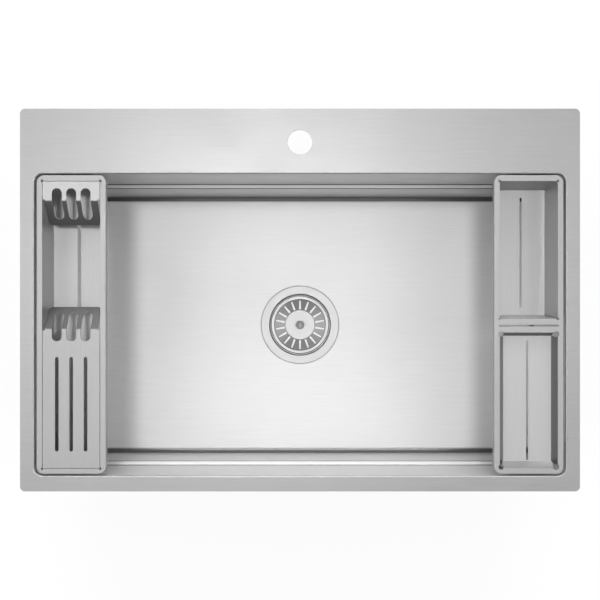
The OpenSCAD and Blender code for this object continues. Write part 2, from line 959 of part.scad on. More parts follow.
// Long tray with lugs on its walls for the rest plate and the knife plate
module left_tray() {
  color(steel)
    at_left() {
      difference() {
        folded_tray(open_w, open_l, tray_depth, left_lean * [1, 1, 1]);
        floor_slot(left_slot_w, -left_slot_end, left_slot_end, tray_depth);
        relief_holes(open_l, 0);
      }
      for (y = lug_places, side = [-1, 1])
        translate([side * (open_w / 2 - lug_reach / 2 + caddy_t / 4), y, lug_z + caddy_t / 2])
          cube([lug_reach + caddy_t / 2, lug_l, caddy_t], center = true);
    }
}

module left_leg_rear() {
  mirror([1, 0, 0])
    end_leg();
}

module left_leg_front() {
  rotate(180)
    end_leg();
}

module left_glides() {
  rotate(180)
    end_glides();
}

// Section of a plate of the given length and its flap: the flat part starts at 0
function fold_points(flat_l) =
  let (
    outer = fold_r + plate_t,
    centre = flat_l - outer * tan(flap_angle / 2),
    tip = flat_l + flap_run,
    under_y = plate_t * sin(flap_angle),
    under_z = plate_t * cos(flap_angle)
  )
    [
      [0, 0],
      each arc(centre, -outer, outer, 90, 90 - flap_angle, fold_steps),
      [tip, -flap_fall],
      [tip - under_y, -flap_fall - under_z],
      each arc(centre, -outer, fold_r, 90 - flap_angle, 90, fold_steps),
      [0, -plate_t]
    ];

// Plate with a flap folded down at its far end, and notches across the fold
module notched_plate(flat_l, notch_start) {
  flap_w = plate_w - 2 * flap_inset;
  flap_end = flat_l + flap_run;
  depth = flap_fall + 2 * plate_t;
  difference() {
    intersection() {
      translate([0, 0, rim_top])
        bar_along_x(plate_w)
          polygon(fold_points(flat_l));
      translate([0, 0, rim_top - depth])
        linear_extrude(depth + cut) {
          translate([-plate_w / 2, 0])
            square([plate_w, flat_l - fold_r]);
          translate([-flap_w / 2, flat_l - fold_r])
            square([flap_w, flap_run + fold_r - flap_corner_r]);
          translate([-flap_w / 2 + flap_corner_r, flap_end - flap_corner_r])
            square([flap_w - 2 * flap_corner_r, flap_corner_r]);
          for (x = [-1, 1])
            translate([x * (flap_w / 2 - flap_corner_r), flap_end - flap_corner_r])
              circle(flap_corner_r);
        }
    }
    for (x = notches)
      translate([x, 0, rim_top - depth])
        linear_extrude(depth + cut)
          obround(notch_w, notch_start, flat_l + notch_run);
  }
}

// Short plate at the rear, whose notches hold handles upright
module rest_plate() {
  color(steel)
    at_left()
      translate([0, plate_rear, 0])
        rotate(180)
          notched_plate(rest_flat_l, rest_notch_start);
}

// Long plate at the front, with slots for the blades
module knife_plate() {
  color(steel)
    at_left()
      translate([0, plate_front, 0])
        difference() {
          notched_plate(knife_flat_l, knife_flat_l - knife_notch_l);
          for (x = notches)
            translate([x, 0, plate_z - cut])
              linear_extrude(plate_t + 2 * cut)
                obround(knife_slot_w, knife_slot_start, knife_slot_start + knife_slot_l);
        }
}

// ---- right caddy ---------------------------------------------------------------------

// Rim with a slit bar between its two openings
module right_frame() {
  color(steel)
    at_right()
      difference() {
        union() {
          caddy_rim();
          translate([-open_w / 2, divider_front, rim_under])
            cube([open_w, divider_w, caddy_t]);
        }
        translate([-open_w / 2 - slit_over, divider_y - slit_w / 2, rim_under - cut])
          cube([open_w + 2 * slit_over, slit_w, caddy_t + 2 * cut]);
        relief_holes(deep_l, deep_y);
        shallow_corner_holes();
      }
}

module deep_tray() {
  color(steel)
    at_right()
      difference() {
        translate([0, deep_y, 0])
          difference() {
            folded_tray(open_w, deep_l, tray_depth, deep_lean * [1, 1, 1]);
            floor_slot(drain_slot_w, -deep_slot_end, deep_slot_end, tray_depth);
          }
        relief_holes(deep_l, deep_y);
      }
}

// Shallow tray whose folds end at the round holes, open at the corners beyond them
module shallow_tray() {
  color(steel)
    at_right()
      difference() {
        translate([0, shallow_y, 0])
          difference() {
            folded_tray(open_w, shallow_l, shallow_depth,
              [shallow_lean, shallow_rear_lean, shallow_front_lean]);
            floor_slot(drain_slot_w,
              -shallow_l / 2 + shallow_front_lean + shallow_slot_front,
              shallow_l / 2 - shallow_rear_lean - shallow_slot_rear, shallow_depth);
          }
        shallow_corner_holes();
        for (side = [-1, 1], end = [-1, 1])
          translate([side * open_w / 2, shallow_y + end * shallow_l / 2, rim_top - shallow_depth])
            cube([2 * corner_hole_in, 2 * corner_hole_in, 2 * shallow_depth], center = true);
      }
}

module right_leg_rear() {
  end_leg();
}

module right_leg_front() {
  mirror([0, 1, 0])
    end_leg();
}

module right_glides() {
  end_glides();
}

deck_plate();
bowl_shell();
worktop_seal();
clip_brackets();
clip_screws();
clip_arms();
pad_front();
pad_rear();
pad_left();
pad_right();
pad_floor_left();
pad_floor_right();
strainer_body();
flange_gasket();
rubber_washer();
slip_ring();
locknut();
strainer_basket();
basket_seal();
basket_knob();
left_frame();
left_tray();
left_leg_front();
left_leg_rear();
left_glides();
rest_plate();
knife_plate();
right_frame();
deep_tray();
shallow_tray();
right_leg_front();
right_leg_rear();
right_glides();
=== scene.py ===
"""Drop-in kitchen sink with sliding caddies: its finishes, threads, studio and camera.

The solids come packed as a fixed frame. This script dresses each of them, adds the turned
threads that the solids leave plain, and sets up a pale studio seen from straight above.
"""

from __future__ import annotations

import logging
import math
from dataclasses import dataclass
from enum import Enum
from typing import ClassVar

import bmesh
import bpy
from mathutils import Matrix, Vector


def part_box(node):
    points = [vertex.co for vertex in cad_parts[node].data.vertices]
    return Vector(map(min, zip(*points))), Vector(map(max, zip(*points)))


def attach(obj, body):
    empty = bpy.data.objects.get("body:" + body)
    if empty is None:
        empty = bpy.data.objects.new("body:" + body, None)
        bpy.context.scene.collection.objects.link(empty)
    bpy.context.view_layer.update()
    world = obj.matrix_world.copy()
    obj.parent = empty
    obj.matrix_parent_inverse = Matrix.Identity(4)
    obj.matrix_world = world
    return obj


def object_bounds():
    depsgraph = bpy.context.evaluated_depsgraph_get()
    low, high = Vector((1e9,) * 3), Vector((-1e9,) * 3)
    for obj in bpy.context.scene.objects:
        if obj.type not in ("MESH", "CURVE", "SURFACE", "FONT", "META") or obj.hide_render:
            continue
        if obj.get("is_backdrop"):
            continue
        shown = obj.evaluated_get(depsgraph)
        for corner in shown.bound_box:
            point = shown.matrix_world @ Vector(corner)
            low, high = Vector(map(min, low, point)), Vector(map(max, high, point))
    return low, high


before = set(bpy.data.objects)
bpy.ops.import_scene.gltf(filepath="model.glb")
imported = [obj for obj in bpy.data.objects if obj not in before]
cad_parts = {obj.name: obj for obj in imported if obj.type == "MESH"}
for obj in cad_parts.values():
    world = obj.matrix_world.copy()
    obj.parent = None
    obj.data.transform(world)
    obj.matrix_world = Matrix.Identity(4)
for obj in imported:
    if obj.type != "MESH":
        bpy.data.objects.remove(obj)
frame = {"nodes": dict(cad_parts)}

LOG = logging.getLogger("sink")
MM = 0.001
BRIGHTEST = 0.95
WELD_DISTANCE = 1e-6

Socket = bpy.types.NodeSocket
Colour = tuple[float, float, float]


# ---- colours --------------------------------------------------------------------------


def grey(level: float) -> Colour:
    """Gives the neutral colour of a level."""
    return (level, level, level)


def toned(colour: Colour, factor: float, lift: float = 0.0) -> Colour:
    """Makes a colour lighter or darker.

    Args:
        colour: The colour.
        factor: What each channel is multiplied by.
        lift: What is added to it then.

    Returns:
        The new colour, with no channel above BRIGHTEST.
    """
    return tuple(min(channel * factor + lift, BRIGHTEST) for channel in colour)


# ---- node helpers ---------------------------------------------------------------------


class Sketch:
    """Adds nodes to one shader tree and wires them up."""

    def __init__(self, tree: bpy.types.NodeTree) -> None:
        """Keeps the tree that the nodes go into."""
        self.tree = tree

    def feed(self, node: bpy.types.Node, inputs: dict) -> None:
        """Sets inputs of a node.

        Args:
            node: The node.
            inputs: Input name or number, to a socket that feeds it or to its value.
        """
        for key, value in inputs.items():
            if isinstance(value, Socket):
                self.tree.links.new(value, node.inputs[key])
            else:
                node.inputs[key].default_value = value

    def node(self, kind: str, inputs: dict | None = None, **settings: object) -> bpy.types.Node:
        """Adds one node.

        Args:
            kind: Blender's name of the node's type, without the ShaderNode prefix.
            inputs: Input name or number, to a socket that feeds it or to its value.
            settings: Properties of the node.

        Returns:
            The new node.
        """
        made = self.tree.nodes.new("ShaderNode" + kind)
        for name, value in settings.items():
            setattr(made, name, value)
        self.feed(made, inputs or {})
        return made

    def position(self) -> Socket:
        """Gives the place on the object, in metres."""
        return self.node("TexCoord").outputs["Object"]

    def normal(self) -> Socket:
        """Gives the way the surface faces."""
        return self.node("NewGeometry").outputs["Normal"]

    def axis(self, vector: Socket, name: str) -> Socket:
        """Gives one axis of a vector."""
        return self.node("SeparateXYZ", {0: vector}).outputs[name]

    def math(self, operation: str, *values: Socket | float) -> Socket:
        """Adds a Math node.

        Args:
            operation: Name of the sum, such as MULTIPLY.
            values: Its operands.

        Returns:
            The result's socket.
        """
        return self.node("Math", dict(enumerate(values)), operation=operation).outputs[0]

    def dot(self, first: Socket, second: Socket | Vector) -> Socket:
        """Multiplies two vectors to a number."""
        product = self.node("VectorMath", {0: first, 1: second}, operation="DOT_PRODUCT")
        return product.outputs["Value"]

    def ramp(self, value: Socket, low: float, high: float, to_low: float = 0.0,
             to_high: float = 1.0) -> Socket:
        """Maps a value's range to another one smoothly.

        Args:
            value: The value that is mapped.
            low: Value that gives to_low.
            high: Value that gives to_high.
            to_low: Result at the low end.
            to_high: Result at the high end.

        Returns:
            The result's socket.
        """
        inputs = {"Value": value, "From Min": low, "From Max": high,
                  "To Min": to_low, "To Max": to_high}
        return self.node("MapRange", inputs, interpolation_type="SMOOTHSTEP").outputs["Result"]

    def mix(self, amount: Socket, first: Socket | float, second: Socket | float) -> Socket:
        """Mixes two numbers.

        Args:
            amount: Share of the second number.
            first: The first number.
            second: The second number.

        Returns:
            The mixed number's socket.
        """
        return self.node("Mix", {0: amount, 2: first, 3: second}).outputs[0]

    def blend(self, amount: Socket, first: Socket | Colour, second: Socket | Colour,
              mode: str = "MIX") -> Socket:
        """Mixes two colours.

        Args:
            amount: Share of the second colour.
            first: The first colour.
            second: The second colour.
            mode: Blender's name of the mix.

        Returns:
            The mixed colour's socket.
        """
        inputs: dict = {0: amount}
        for index, value in ((6, first), (7, second)):
            inputs[index] = value if isinstance(value, Socket) else (*value, 1.0)
        return self.node("Mix", inputs, data_type="RGBA", blend_type=mode).outputs[2]

    def bump(self, height: Socket, depth: float, normal: Socket) -> Socket:
        """Dents the surface.

        Args:
            height: Height from 0 to 1.
            depth: What a height of 1 stands for, in metres.
            normal: The normal that is dented.

        Returns:
            The dented normal's socket.
        """
        inputs = {"Height": height, "Strength": 1.0, "Distance": depth, "Normal": normal}
        return self.node("Bump", inputs).outputs[0]


class ShaderGroup:
    """A node group that several finishes share, built once and found again by its name."""

    name = ""
    inputs: tuple[tuple[str, str, object], ...] = ()
    outputs: tuple[tuple[str, str], ...] = ()

    @classmethod
    def tree(cls) -> bpy.types.NodeTree:
        """Finds the group, or builds it the first time.

        Returns:
            The group's node tree.
        """
        found = bpy.data.node_groups.get(cls.name)
        if found is not None:
            return found
        tree = bpy.data.node_groups.new(cls.name, "ShaderNodeTree")
        for label, kind, value in cls.inputs:
            socket = tree.interface.new_socket(label, in_out="INPUT", socket_type=kind)
            socket.default_value = value
        for label, kind in cls.outputs:
            tree.interface.new_socket(label, in_out="OUTPUT", socket_type=kind)
        entry = tree.nodes.new("NodeGroupInput")
        leave = tree.nodes.new("NodeGroupOutput")
        sketch = Sketch(tree)
        sketch.feed(leave, cls.draw(sketch, entry))
        return tree

    @classmethod
    def draw(cls, sketch: Sketch, entry: bpy.types.Node) -> dict[str, Socket]:
        """Lays out the group's nodes; each group has its own."""
        raise NotImplementedError

    @classmethod
    def place(cls, sketch: Sketch, **values: object) -> bpy.types.Node:
        """Puts the group into a material.

        Args:
            sketch: The material's tree.
            values: Input names, with underscores for spaces, and their values.

        Returns:
            The group node.
        """
        inputs = {key.replace("_", " "): value for key, value in values.items()}
        made = sketch.tree.nodes.new("ShaderNodeGroup")
        made.node_tree = cls.tree()
        sketch.feed(made, inputs)
        return made


class StraightGrain(ShaderGroup):
    """Fine parallel scratches of a brushed sheet, and the slow waves of a rolled one."""

    name = "straight_grain"
    inputs = (
        ("Flat Stretch", "NodeSocketVector", (14.0, 1800.0, 1800.0)),
        ("Side Stretch", "NodeSocketVector", (1800.0, 14.0, 1800.0)),
    )
    outputs = (("Grain", "NodeSocketFloat"), ("Wave", "NodeSocketFloat"))

    @classmethod
    def draw(cls, sketch: Sketch, entry: bpy.types.Node) -> dict[str, Socket]:
        """Draws scratches that turn with the wall they lie on.

        Args:
            sketch: The group's tree.
            entry: Its input node.

        Returns:
            The outputs by name.
        """
        place = sketch.position()
        leaning = sketch.math("ABSOLUTE", sketch.axis(sketch.normal(), "X"))
        grains = []
        for label in ("Flat Stretch", "Side Stretch"):
            stretched = sketch.node("VectorMath", {0: place, 1: entry.outputs[label]},
                                    operation="MULTIPLY").outputs[0]
            noise = sketch.node("TexNoise", {"Vector": stretched, "Scale": 1.0, "Detail": 3.0,
                                             "Roughness": 0.7})
            grains.append(noise.outputs["Fac"])
        slow = sketch.node("TexNoise", {"Vector": place, "Scale": 7.0, "Detail": 2.0})
        return {"Grain": sketch.mix(sketch.ramp(leaning, 0.6, 0.8), *grains),
                "Wave": slow.outputs["Fac"]}


class TurnedGrain(ShaderGroup):
    """Fine rings that a lathe leaves round the drain's axis."""

    name = "turned_grain"
    inputs = (("Rings", "NodeSocketFloat", 1500.0),)
    outputs = (("Grain", "NodeSocketFloat"), ("Wave", "NodeSocketFloat"))

    @classmethod
    def draw(cls, sketch: Sketch, entry: bpy.types.Node) -> dict[str, Socket]:
        """Draws rings by their distance from the axis.

        Args:
            sketch: The group's tree.
            entry: Its input node.

        Returns:
            The outputs by name.
        """
        place = sketch.position()
        part = sketch.node("SeparateXYZ", {0: place}).outputs
        flat = sketch.node("CombineXYZ", {"X": part["X"], "Y": part["Y"]}).outputs[0]
        reach = sketch.node("VectorMath", {0: flat}, operation="LENGTH").outputs["Value"]
        turn = sketch.math("ARCTAN2", part["Y"], part["X"])
        rings = sketch.node("CombineXYZ", {
            "X": sketch.math("MULTIPLY", reach, entry.outputs["Rings"]),
            "Y": sketch.math("MULTIPLY", sketch.math("SINE", turn), 2.0),
            "Z": sketch.math("MULTIPLY", part["Z"], entry.outputs["Rings"]),
        }).outputs[0]
        noise = sketch.node("TexNoise", {"Vector": rings, "Scale": 1.0, "Detail": 2.0})
        slow = sketch.node("TexNoise", {"Vector": place, "Scale": 60.0, "Detail": 2.0})
        return {"Grain": noise.outputs["Fac"], "Wave": slow.outputs["Fac"]}


class SoftEdge(ShaderGroup):
    """Deburred edges: a normal that rounds them, and a mask where they are rubbed bright."""

    name = "soft_edge"
    inputs = (("Radius", "NodeSocketFloat", 0.0005),)
    outputs = (("Normal", "NodeSocketVector"), ("Edge", "NodeSocketFloat"))

    @classmethod
    def draw(cls, sketch: Sketch, entry: bpy.types.Node) -> dict[str, Socket]:
        """Compares the rounded normal with the true one.

        Args:
            sketch: The group's tree.
            entry: Its input node.

        Returns:
            The outputs by name.
        """
        rounded = sketch.node("Bevel", {"Radius": entry.outputs["Radius"]}, samples=4).outputs[0]
        same = sketch.dot(rounded, sketch.normal())
        return {"Normal": rounded, "Edge": sketch.ramp(same, 1.0, 0.75)}


class HandMarks(ShaderGroup):
    """Faint dull patches where water dried and hands wiped."""

    name = "hand_marks"
    inputs = (("Size", "NodeSocketFloat", 9.0),)
    outputs = (("Mark", "NodeSocketFloat"),)

    @classmethod
    def draw(cls, sketch: Sketch, entry: bpy.types.Node) -> dict[str, Socket]:
        """Draws soft patches by two sizes of noise.

        Args:
            sketch: The group's tree.
            entry: Its input node.

        Returns:
            The outputs by name.
        """
        place = sketch.position()
        broad = sketch.node("TexNoise", {"Vector": place, "Scale": entry.outputs["Size"],
                                         "Detail": 4.0, "Roughness": 0.55, "Distortion": 0.4})
        fine = sketch.node("TexNoise", {"Vector": place, "Scale": 70.0, "Detail": 2.0})
        patch = sketch.ramp(broad.outputs["Fac"], 0.45, 0.7)
        return {"Mark": sketch.math("MULTIPLY", patch, fine.outputs["Fac"])}


class Pebbles(ShaderGroup):
    """The leathery face of moulded rubber and plastic."""

    name = "pebbles"
    inputs = (("Size", "NodeSocketFloat", 900.0),)
    outputs = (("Height", "NodeSocketFloat"), ("Tone", "NodeSocketFloat"))

    @classmethod
    def draw(cls, sketch: Sketch, entry: bpy.types.Node) -> dict[str, Socket]:
        """Draws rounded cells with a slow change of tone.

        Args:
            sketch: The group's tree.
            entry: Its input node.

        Returns:
            The outputs by name.
        """
        place = sketch.position()
        cells = sketch.node("TexVoronoi", {"Vector": place, "Scale": entry.outputs["Size"]},
                            feature="SMOOTH_F1")
        tone = sketch.node("TexNoise", {"Vector": place, "Scale": 35.0, "Detail": 5.0,
                                        "Roughness": 0.65})
        return {"Height": sketch.math("SUBTRACT", 1.0, cells.outputs["Distance"]),
                "Tone": tone.outputs["Fac"]}


# ---- finishes -------------------------------------------------------------------------


class Grain(Enum):
    """Way that a steel surface was brushed."""

    ACROSS = "across"
    LENGTHWISE = "lengthwise"
    TURNED = "turned"


def blank_material(name: str) -> tuple[bpy.types.Material, Sketch]:
    """Starts a material without any nodes.

    Args:
        name: Name of the material.

    Returns:
        The material and a sketch of its tree.
    """
    material = bpy.data.materials.new(name)
    material.use_nodes = True
    material.node_tree.nodes.clear()
    return material, Sketch(material.node_tree)


def surface_material(name: str) -> tuple[bpy.types.Material, Sketch, bpy.types.Node]:
    """Starts a material with one surface shader.

    Args:
        name: Name of the material.

    Returns:
        The material, a sketch of its tree, and its Principled BSDF.
    """
    material, sketch = blank_material(name)
    surface = sketch.node("BsdfPrincipled")
    sketch.node("OutputMaterial", {"Surface": surface.outputs["BSDF"]})
    return material, sketch, surface


@dataclass(frozen=True)
class BrushedSteel:
    """Brushed stainless steel, and where asked the grey coat on the outside of the bowl.

    The mirror share is what the scratches leave of the reflection; the rest of it scatters. Walls
    and folds may have darker tones of their own: painted shade for the darker things they mirror.
    """

    flat_level: ClassVar[tuple[float, float]] = (0.93, 0.99)
    wall_level: ClassVar[tuple[float, float]] = (0.25, 0.12)
    fold_roughness: ClassVar[float] = 0.3
    depth: ClassVar[float] = 0.02 * MM
    scratch: ClassVar[Colour] = grey(0.9)
    edge_gain: ClassVar[float] = 1.12
    edge_share: ClassVar[float] = 0.6
    mark_colour: ClassVar[Colour] = grey(0.5)
    rough_low: ClassVar[float] = 0.85
    rough_high: ClassVar[float] = 1.15
    wave_share: ClassVar[float] = 0.015
    coat_cell: ClassVar[float] = 700.0
    coat_shade: ClassVar[float] = 0.8
    coat_roughness: ClassVar[float] = 0.75

    name: str
    colour: Colour
    roughness: float
    grain: Grain = Grain.ACROSS
    line: float = 1800.0
    run: float = 14.0
    marks: float = 0.06
    edge: float = 0.4 * MM
    mirror: float = 1.0
    # Tones of walls and folds, darker than the flats: painted shade.
    wall_shade: Colour | None = None
    wall_mirror: float = 1.0
    fold_shade: Colour | None = None
    coat: Colour | None = None

    def grain_node(self, sketch: Sketch) -> bpy.types.Node:
        """Places the grain group with this finish's direction.

        Args:
            sketch: The material's tree.

        Returns:
            The group node.
        """
        if self.grain is Grain.TURNED:
            return TurnedGrain.place(sketch, Rings=self.line)
        across = (self.run, self.line, self.line)
        lengthwise = (self.line, self.run, self.line)
        flat = across if self.grain is Grain.ACROSS else lengthwise
        return StraightGrain.place(sketch, Flat_Stretch=flat, Side_Stretch=lengthwise)

    def zones(self, sketch: Sketch) -> tuple[Socket | Colour, Socket | float, Socket | None]:
        """Paints shade on folds and walls, told apart from the flats by the way they face.

        Args:
            sketch: The material's tree.

        Returns:
            The tone with painted shade on folds and walls, the mirror share, and a mask of the
            flats if anything else differs.
        """
        if self.fold_shade is None:
            return self.colour, self.mirror, None
        level = sketch.math("ABSOLUTE", sketch.axis(sketch.normal(), "Z"))
        flat = sketch.ramp(level, *self.flat_level)
        upright = sketch.ramp(level, *self.wall_level)
        # Painted shade: folds and walls take darker tones than the flats.
        tone = sketch.blend(flat, self.fold_shade, self.colour)
        tone = sketch.blend(upright, tone, self.wall_shade or self.fold_shade)
        mirror = sketch.mix(upright, sketch.mix(flat, 1.0, self.mirror), self.wall_mirror)
        return tone, mirror, flat

    def coated(self, sketch: Sketch, bare: dict[str, Socket | float]) -> dict[str, Socket]:
        """Lays the grey spray over the faces that look away from the middle of the bowl.

        Args:
            sketch: The material's tree.
            bare: What the bare steel has, by the name of the input or Height.

        Returns:
            The same names, with the coat laid over.
        """
        outside = sketch.math("GREATER_THAN", sketch.dot(sketch.position(), sketch.normal()), 0.0)
        spray = Pebbles.place(sketch, Size=self.coat_cell)
        shaded = toned(self.coat, self.coat_shade)
        sprayed = sketch.blend(spray.outputs["Tone"], shaded, self.coat)
        return {
            "Base Color": sketch.blend(outside, bare["Base Color"], sprayed),
            "Roughness": sketch.mix(outside, bare["Roughness"], self.coat_roughness),
            "Metallic": sketch.mix(outside, bare["Metallic"], 0.0),
            "Height": sketch.mix(outside, bare["Height"], spray.outputs["Height"]),
        }

    def material(self) -> bpy.types.Material:
        """Builds the material.

        Returns:
            The material.
        """
        material, sketch, surface = surface_material(self.name)
        grain = self.grain_node(sketch).outputs
        edge = SoftEdge.place(sketch, Radius=self.edge).outputs
        mark = HandMarks.place(sketch).outputs["Mark"]
        marked = sketch.math("MULTIPLY", mark, self.marks)
        colour, mirror, flat = self.zones(sketch)
        rubbed = sketch.math("MULTIPLY", edge["Edge"], self.edge_share)
        tone = sketch.blend(sketch.ramp(grain["Grain"], 0.75, 0.25), colour, self.scratch,
                            "MULTIPLY")
        tone = sketch.blend(rubbed, tone, toned(self.colour, self.edge_gain))
        tone = sketch.blend(marked, tone, self.mark_colour)
        rough = sketch.ramp(grain["Grain"], 0.2, 0.8, self.roughness * self.rough_low,
                            self.roughness * self.rough_high)
        rough = sketch.math("ADD", rough, marked)
        rough = sketch.math("ADD", rough, sketch.math("MULTIPLY", grain["Wave"], self.wave_share))
        if flat is not None:
            rough = sketch.mix(flat, self.fold_roughness, rough)
        channels = {"Base Color": tone, "Roughness": rough, "Metallic": mirror,
                    "Height": grain["Grain"]}
        if self.coat is not None:
            channels = self.coated(sketch, channels)
        height = channels.pop("Height")
        channels["Normal"] = sketch.bump(height, self.depth, edge["Normal"])
        sketch.feed(surface, channels)
        return material


@dataclass(frozen=True)
class Moulded:
    """Rubber, foam or plastic with a pebbled face."""

    edge: ClassVar[float] = 0.4 * MM
    edge_gain: ClassVar[float] = 1.5
    edge_lift: ClassVar[float] = 0.02
    edge_share: ClassVar[float] = 0.5
    shade: ClassVar[float] = 0.75
    rough_low: ClassVar[float] = 0.9
    rough_high: ClassVar[float] = 1.1
    mark_size: ClassVar[float] = 20.0
    mark_share: ClassVar[float] = 0.1

    name: str
    colour: Colour
    roughness: float
    cell: float = 900.0
    depth: float = 0.06 * MM

    def material(self) -> bpy.types.Material:
        """Builds the material.

        Returns:
            The material.
        """
        material, sketch, surface = surface_material(self.name)
        pebbles = Pebbles.place(sketch, Size=self.cell).outputs
        edge = SoftEdge.place(sketch, Radius=self.edge).outputs
        mark = HandMarks.place(sketch, Size=self.mark_size).outputs["Mark"]
        worn = toned(self.colour, self.edge_gain, self.edge_lift)
        rubbed = sketch.math("MULTIPLY", edge["Edge"], self.edge_share)
        tone = sketch.blend(sketch.ramp(pebbles["Tone"], 0.3, 0.7),
                            toned(self.colour, self.shade), self.colour)
        rough = sketch.ramp(pebbles["Tone"], 0.3, 0.7, self.roughness * self.rough_low,
                            min(self.roughness * self.rough_high, 1.0))
        wiped = sketch.math("MULTIPLY", mark, self.mark_share)
        sketch.feed(surface, {
            "Base Color": sketch.blend(rubbed, tone, worn),
            "Roughness": sketch.math("SUBTRACT", rough, wiped),
            "Normal": sketch.bump(pebbles["Height"], self.depth, edge["Normal"]),
        })
        return material


@dataclass(frozen=True)
class PlatedMetal:
    """Zinc plate or die-cast metal: dull, in faint patches, bright at its edges."""

    edge: ClassVar[float] = 0.3 * MM
    edge_gain: ClassVar[float] = 1.2
    edge_share: ClassVar[float] = 0.7
    shade: ClassVar[float] = 0.86
    rough_low: ClassVar[float] = 0.85
    rough_high: ClassVar[float] = 1.15
    mark_size: ClassVar[float] = 30.0
    mark_share: ClassVar[float] = 0.15
    depth: ClassVar[float] = 0.04 * MM

    name: str
    colour: Colour
    roughness: float
    patch: float = 220.0

    def material(self) -> bpy.types.Material:
        """Builds the material.

        Returns:
            The material.
        """
        material, sketch, surface = surface_material(self.name)
        patches = sketch.node("TexVoronoi", {"Vector": sketch.position(), "Scale": self.patch})
        level = sketch.axis(patches.outputs["Color"], "X")
        edge = SoftEdge.place(sketch, Radius=self.edge).outputs
        mark = HandMarks.place(sketch, Size=self.mark_size).outputs["Mark"]
        rubbed = sketch.math("MULTIPLY", edge["Edge"], self.edge_share)
        tone = sketch.blend(level, toned(self.colour, self.shade), self.colour)
        rough = sketch.ramp(level, 0.0, 1.0, self.roughness * self.rough_low,
                            self.roughness * self.rough_high)
        dulled = sketch.math("MULTIPLY", mark, self.mark_share)
        sketch.feed(surface, {
            "Base Color": sketch.blend(rubbed, tone, toned(self.colour, self.edge_gain)),
            "Roughness": sketch.math("ADD", rough, dulled),
            "Normal": sketch.bump(mark, self.depth, edge["Normal"]),
            "Metallic": 1.0,
        })
        return material


# ---- dressing and meshes --------------------------------------------------------------


def dress(material: bpy.types.Material, *nodes: str) -> None:
    """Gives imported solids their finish.

    Args:
        material: The finish.
        nodes: Names of the solids.
    """
    for name in nodes:
        solid = frame["nodes"][name]
        solid.data.materials.clear()
        solid.data.materials.append(material)
        LOG.info("%s: %s", name, material.name)


def add_object(name: str, shape: bmesh.types.BMesh,
               material: bpy.types.Material) -> bpy.types.Object:
    """Turns a finished mesh into an object of the scene.

    Args:
        name: Name of the object and its mesh.
        shape: Its mesh, which is freed.
        material: Its finish.

    Returns:
        The object.
    """
    mesh = bpy.data.meshes.new(name)
    shape.to_mesh(mesh)
    shape.free()
    mesh.materials.append(material)
    made = bpy.data.objects.new(name, mesh)
    bpy.context.scene.collection.objects.link(made)
    return made


def add_piece(name: str, shape: bmesh.types.BMesh, material: bpy.types.Material, body: str) -> None:
    """Turns a finished mesh into a piece that rides on a body.

    Args:
        name: Name of the piece.
        shape: Its mesh, which is freed.
        material: Its finish.
        body: The body that it moves with.
    """
    bmesh.ops.recalc_face_normals(shape, faces=shape.faces)
    piece = add_object(name, shape, material)
    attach(piece, body)
    LOG.info("%s: new piece on %s, %d faces", name, body, len(piece.data.polygons))


def island_centres(node: str) -> list[Vector]:
    """Finds the separate solids of a node.

    Args:
        node: Name of the node.

    Returns:
        The middle of each solid's box, in metres.
    """
    shape = bmesh.new()
    shape.from_mesh(frame["nodes"][node].data)
    bmesh.ops.remove_doubles(shape, verts=shape.verts, dist=WELD_DISTANCE)
    centres = []
    left = set(shape.verts)
    while left:
        island = {left.pop()}
        front = list(island)
        while front:
            for edge in front.pop().link_edges:
                for vert in edge.verts:
                    if vert in left:
                        left.remove(vert)
                        island.add(vert)
                        front.append(vert)
        low = Vector(min(v.co[i] for v in island) for i in range(3))
        high = Vector(max(v.co[i] for v in island) for i in range(3))
        centres.append((low + high) / 2)
    shape.free()
    return sorted(centres, key=lambda c: (round(c.x, 4), round(c.y, 4)))


@dataclass(frozen=True)
class Thread:
    """A screw thread as one helical ridge that fades out at both ends."""

    foot_share: ClassVar[float] = 0.42
    crest_share: ClassVar[float] = 0.2
    sunk_share: ClassVar[float] = 0.1
    end_share: ClassVar[float] = 0.05
    fade_turns: ClassVar[float] = 0.5
    least_steps: ClassVar[int] = 3

    radius: float
    depth: float
    pitch: float
    steps: int

    def cut(self, shape: bmesh.types.BMesh, centre: Vector, low: float, high: float) -> None:
        """Adds the ridge to a mesh.

        Args:
            shape: The mesh that it goes into.
            centre: A point on the axis; only its x and y count.
            low: Height at which the ridge starts.
            high: Height at which it ends.
        """
        half = self.pitch * self.foot_share
        tip = half * self.crest_share
        sunk = self.radius - self.depth * self.sunk_share
        turns = (high - low - 2 * half) / self.pitch
        count = max(int(turns * self.steps), self.least_steps)
        sections = []
        for i in range(count + 1):
            angle = 2 * math.pi * turns * i / count
            rise = low + half + self.pitch * turns * i / count
            fade = min(1.0, min(i, count - i) / (self.fade_turns * self.steps))
            crest = self.radius + self.depth * max(fade, self.end_share)
            ring = []
            for reach, lift in ((sunk, -half), (crest, -tip), (crest, tip), (sunk, half)):
                ring.append(shape.verts.new((centre.x + reach * math.cos(angle),
                                             centre.y + reach * math.sin(angle), rise + lift)))
            sections.append(ring)
        for first, second in zip(sections, sections[1:]):
            for i in range(4):
                j = (i + 1) % 4
                shape.faces.new((first[i], first[j], second[j], second[i]))
        shape.faces.new(sections[0])
        shape.faces.new(list(reversed(sections[-1])))


# ---- sub-assemblies -------------------------------------------------------------------


